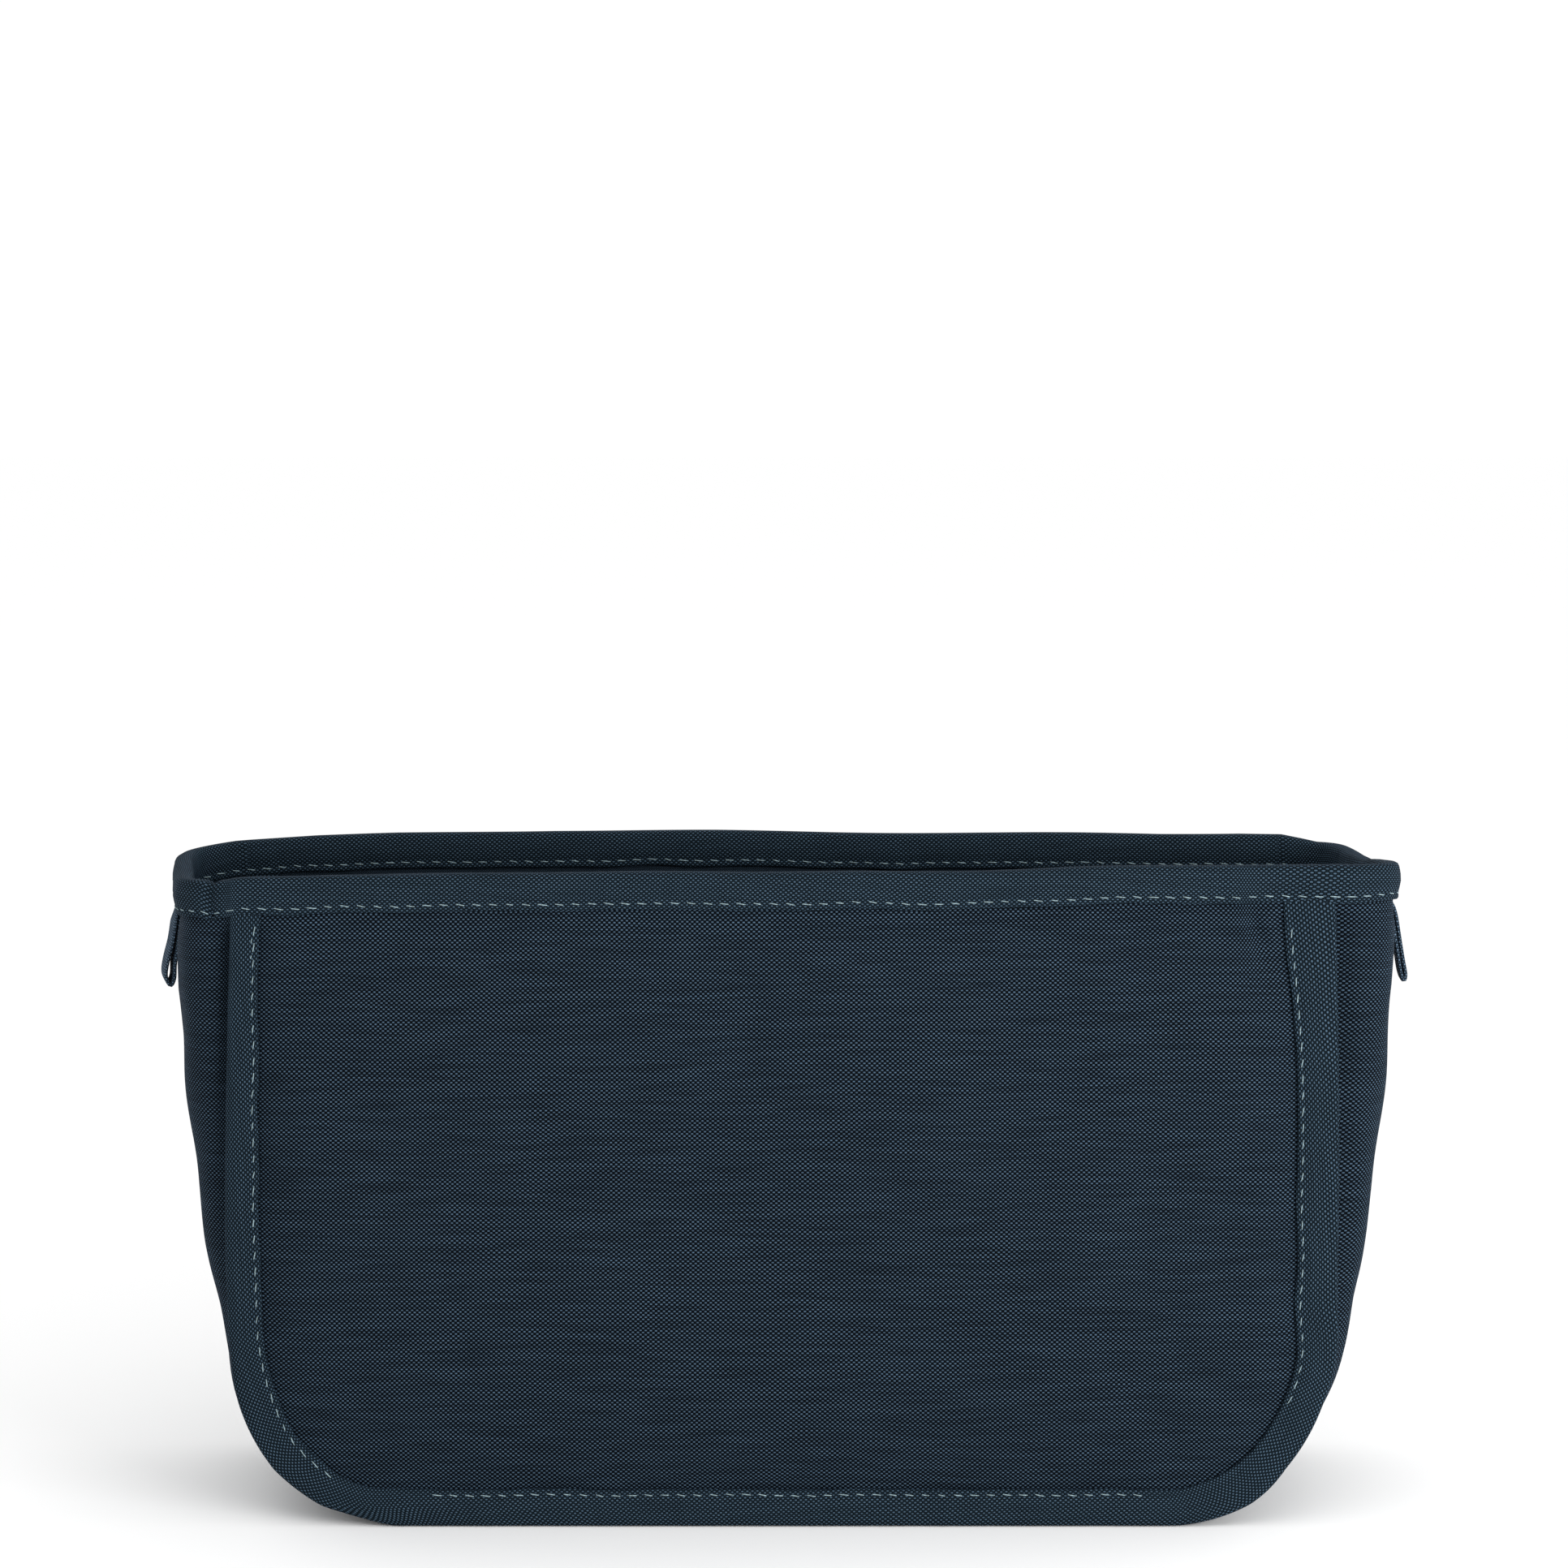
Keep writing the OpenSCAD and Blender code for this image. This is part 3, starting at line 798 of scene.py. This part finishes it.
def gusset_half(wall, face, seed):
    """Half of the gusset, uneven where nothing holds it, and the lining inside it."""
    p, n, uv, s = gusset_grid(face, 26)
    side = smooth((np.abs(p[..., 0]) - 95) / 20)
    free = side * smooth(np.abs(np.abs(p[..., 1]) - 34) / 8)
    free = free * smooth(np.abs(p[..., 1]) / 5) * smooth((RIM_TOP - 6 - p[..., 2]) / 12)
    swell = 0.45 * ripple(p[..., 1] * 1.4, p[..., 2], seed, 46)
    q = p + n * (free * swell)[..., None]
    q[..., 2] = np.maximum(q[..., 2], TABLE_GAP)
    strip = thick_sheet(wall + "_gusset", settle(q), uv, 0.7, n)
    dress(strip, gusset_cloth)
    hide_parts("gusset", "gusset_filler_left", "gusset_filler_right")
    inset = 2.6 - 1.3 * under_rim(q[..., 2:])
    lining = thick_sheet(wall + "_gusset_lining", settle(q - n * inset), uv, 0.5, n)
    dress(lining, lining_cloth)
    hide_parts("gusset_lining")
    for obj in (strip, lining):
        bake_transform(obj)


# ---------------------------------------------------------------- pockets
POCKET_SINK = BAND_D + 0.35          # depth of a pocket's back face from the wall's front
POCKET_ROWS = 40
POCKET_EDGE_T, POCKET_STITCH = 2.4, 5.8  # the edge band's thickness, and its stitch row


def pocket_bow(x, slots, share):
    """How far the pocket stands off its wall at x, for a share of the way up."""
    t = ((x + POCKET_W / 2) / (POCKET_W / slots)) % 1.0
    arch = np.sin(math.pi * t) ** 1.3
    return arch * (0.5 + 7.2 * share ** 1.2)


def pocket_row(wall, face, slots, seed):
    """A row of slip pockets on the inside of a wall, with a bound edge and sewn dividers."""
    columns = 24 * slots + 1
    x = np.linspace(-POCKET_W / 2, POCKET_W / 2, columns)
    z = np.linspace(POCKET_Z, POCKET_TOP - 1.2, POCKET_ROWS)
    share = (z - POCKET_Z) / (POCKET_TOP - POCKET_Z)
    bow = pocket_bow(x[None], slots, share[:, None])
    bow = bow * (1 + 0.06 * ripple(x[None], z[:, None], seed, 40))
    depth = POCKET_SINK + bow
    xs, zs = np.meshgrid(x, z)
    p = np.stack([xs * face, face * (HALF_D - depth), zs], axis=-1)
    uv = np.stack([xs, zs], axis=-1)
    inward = np.array([0.0, -face, 0.0])
    obj = thick_sheet(wall + "_pocket_cloth", settle(p + inward * 0.6), uv, 0.6,
                      np.broadcast_to(inward, p.shape))
    dress(obj, lining_cloth)
    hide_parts(wall + "_pocket")
    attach(obj, wall + "_wall")
    line = np.stack([x * face, face * (HALF_D - POCKET_SINK - 0.3
                                       - pocket_bow(x, slots, 0.96))], axis=1)
    line, s = resample(spline(line, 900), step=STEP * 1.5)
    inside = side_normals(line, np.array([0.0, -face]))
    section = band_loop(POCKET_EDGE_H, POCKET_EDGE_T, POCKET_STITCH)
    e, d = band_shape(s, section, POCKET_EDGE_T, POCKET_EDGE_H, POCKET_STITCH, seed + 9)
    xs = line[:, None, 0] + (POCKET_EDGE_T / 2 - d) * inside[:, None, 0]
    ys = line[:, None, 1] + (POCKET_EDGE_T / 2 - d) * inside[:, None, 1]
    rings = np.stack([xs, ys, POCKET_TOP - e], axis=-1)
    edge = tube(wall + "_pocket_band", settle(rings), band_weave(s, section))
    dress(edge, band_cloth)
    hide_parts(wall + "_pocket_binding")
    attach(edge, wall + "_wall")
    parts = stitches(settle(rings[:, DIP_AT]), np.c_[inside, 0 * s])
    for k in range(slots + 1):
        x0 = (-POCKET_W / 2 + k * POCKET_W / slots) * 0.992
        zs = np.linspace(POCKET_Z, POCKET_TOP - POCKET_EDGE_H, 60)
        y0 = face * (HALF_D - POCKET_SINK - 0.62)
        seam = np.stack([np.full(60, x0 * face), np.full(60, y0), zs], axis=1)
        parts += stitches(settle(seam), np.tile(inward, (60, 1)))
    base = np.stack([x * face, np.full(columns, face * (HALF_D - POCKET_SINK - 0.9)),
                     np.full(columns, POCKET_Z + 2.0)], axis=1)
    parts += stitches(settle(base), np.tile(inward, (columns, 1)))
    sewn = join(wall + "_pocket_stitches", parts)
    dress(sewn, thread)
    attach(sewn, wall + "_wall")


# ---------------------------------------------------------------- loops
# Middle lines of the straps: distances out from the foot, and heights from the band's edge
LOOP_W, PLY = 10.0, 0.95             # the strap's width and thickness
LOOP_HIDDEN = 5.0                    # a strap starts and ends this far up, in the band
LEFT_FOOT, RIGHT_FOOT = 136.9, 140.4
LEFT_TIP, RIGHT_TIP = (2.1, -19.0), (2.4, -19.6)
LEFT_YAW, RIGHT_YAW = 5, 9
LEFT_OUTER = [(0.95, 1.5), (0.95, -1.5), (1.3, -4.7), (1.85, -8.8), (2.7, -12.5),
              (3.2, -15.6), (3.05, -17.4)]
LEFT_INNER = [(1.3, -17.4), (1.2, -14.2), (1.0, -12.1), (0.6, -9.3), (0.25, -4.7),
              (0.0, -1.5), (0.0, 1.5)]
RIGHT_OUTER = [(-3.0, 1.5), (-1.6, 0), (0.3, -1.6), (1.2, -4.5), (2.0, -11), (2.5, -15),
               (2.9, -18.2)]
RIGHT_INNER = [(1.8, -17.6), (1.4, -14), (0.95, -10), (0.2, -4.5), (-0.8, -1.6), (-2.6, 0),
               (-4.0, 1.5)]


def hanging_loop(side, foot, outer, tip, inner, yaw):
    """A folded strap that hangs from under the rim band. outer, tip and inner are points on
    its middle line, and yaw turns its face toward the front below the band."""
    name = "left" if side < 0 else "right"
    z0 = RIM_EDGE
    start, end = (outer[0][0], LOOP_HIDDEN), (inner[-1][0], LOOP_HIDDEN)
    line = spline([start, *outer, tip, *inner, end], 110)
    n = side_normals(line, np.array([1.0, 0.0]))
    s = np.r_[0, np.cumsum(np.linalg.norm(np.diff(line, axis=0), axis=1))]
    a = np.linspace(-math.pi, math.pi, 29)[:-1] + math.pi / 28
    across = np.sign(np.cos(a)) * np.abs(np.cos(a)) ** 0.28 * LOOP_W / 2
    thick = np.sign(np.sin(a)) * np.abs(np.sin(a)) ** 0.6 * PLY / 2
    turn = math.tan(math.radians(yaw)) * smooth(-line[:, 1:] / 5)
    x = line[:, :1] + thick * n[:, :1] + (across + LOOP_W / 2) * turn
    z = z0 + line[:, 1:] + thick * n[:, 1:]
    rings = np.stack([side * (foot + x), np.broadcast_to(across, x.shape), z], axis=-1)
    around = round_length(np.stack([across, thick], axis=1))
    uv = np.stack([around[None] + 0 * s[:, None], s[:, None] + 0 * around], axis=-1)
    obj = tube("loop_strap_" + name, settle(rings), uv)
    dress(obj, strap_cloth)
    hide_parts("loop_" + name)
    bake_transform(obj)


# ---------------------------------------------------------------- build
padded_panel("front", -1, 11, FRONT_TUCK)
padded_panel("back", 1, 23, None)
for WALL, FACE, SEED in (("front", -1, 31), ("back", 1, 57)):
    wall_lining(WALL, FACE, SEED)
    seam_binding(WALL, FACE, SEED + 3)
    rim_band(WALL, FACE, SEED + 6)
    gusset_half(WALL, FACE, SEED + 9)
pocket_row("front", -1, FRONT_SLOTS, 71)
pocket_row("back", 1, BACK_SLOTS, 83)
hanging_loop(-1, LEFT_FOOT, LEFT_OUTER, LEFT_TIP, LEFT_INNER, LEFT_YAW)
hanging_loop(1, RIGHT_FOOT, RIGHT_OUTER, RIGHT_TIP, RIGHT_INNER, RIGHT_YAW)
dress(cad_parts["base_board"], board_black)


# ---------------------------------------------------------------- floor, light and camera
FLOOR_HALF = 6.0
WORLD_STRENGTH = 1.03
CAMERA_AT = (0.0016, -1.0319, 0.2774)
CAMERA_PITCH, CAMERA_LENS = -6.355, 105


def stage_floor():
    mat = bpy.data.materials.new("floor_white")
    mat.use_nodes = True
    shader = mat.node_tree.nodes["Principled BSDF"]
    shader.inputs["Base Color"].default_value = (0.97, 0.97, 0.97, 1)
    shader.inputs["Roughness"].default_value = 0.9
    shader.inputs["Specular IOR Level"].default_value = 0.0
    mesh = bpy.data.meshes.new("floor")
    r = FLOOR_HALF
    mesh.from_pydata([(-r, -r, 0), (r, -r, 0), (r, r, 0), (-r, r, 0)], [], [(0, 1, 2, 3)])
    floor = bpy.data.objects.new("floor", mesh)
    floor.data.materials.append(mat)
    bpy.context.scene.collection.objects.link(floor)


def area_light(name, place, target, size, power):
    data = bpy.data.lights.new(name, "AREA")
    data.shape = "RECTANGLE"
    data.size, data.size_y = size
    data.energy = power
    light = bpy.data.objects.new(name, data)
    light.visible_camera = False
    bpy.context.scene.collection.objects.link(light)
    light.matrix_world = looking(place, np.array(target) - np.array(place))


def looking(place, direction):
    """Placing matrix of something that looks along direction, with Z up."""
    f = np.array(direction, float)
    f /= np.linalg.norm(f)
    right = np.cross(f, [0, 0, 1.0])
    right /= np.linalg.norm(right)
    up = np.cross(right, f)
    m = np.eye(4)
    m[:3, 0], m[:3, 1], m[:3, 2], m[:3, 3] = right, up, -f, place
    return Matrix(m.tolist())


def make_camera(place, pitch, lens):
    data = bpy.data.cameras.new("camera")
    data.lens, data.sensor_width = lens, 36.0
    camera = bpy.data.objects.new("camera", data)
    bpy.context.scene.collection.objects.link(camera)
    tilt = math.radians(pitch)
    camera.matrix_world = looking(place, (0, math.cos(tilt), math.sin(tilt)))
    bpy.context.scene.camera = camera


stage_floor()
area_light("key", (0.5, -0.6, 0.21), (0.02, 0, 0.08), (0.5, 0.32), 5.2)
area_light("fill", (-0.2, -0.9, 1.1), (0, 0, 0.08), (1.0, 0.8), 1.6)
world = bpy.data.worlds.new("world")
bpy.context.scene.world = world
world.use_nodes = True
world.node_tree.nodes["Background"].inputs[0].default_value = (1, 1, 1, 1)
world.node_tree.nodes["Background"].inputs[1].default_value = WORLD_STRENGTH
bpy.context.scene.view_settings.view_transform = "Standard"
make_camera(CAMERA_AT, CAMERA_PITCH, CAMERA_LENS)
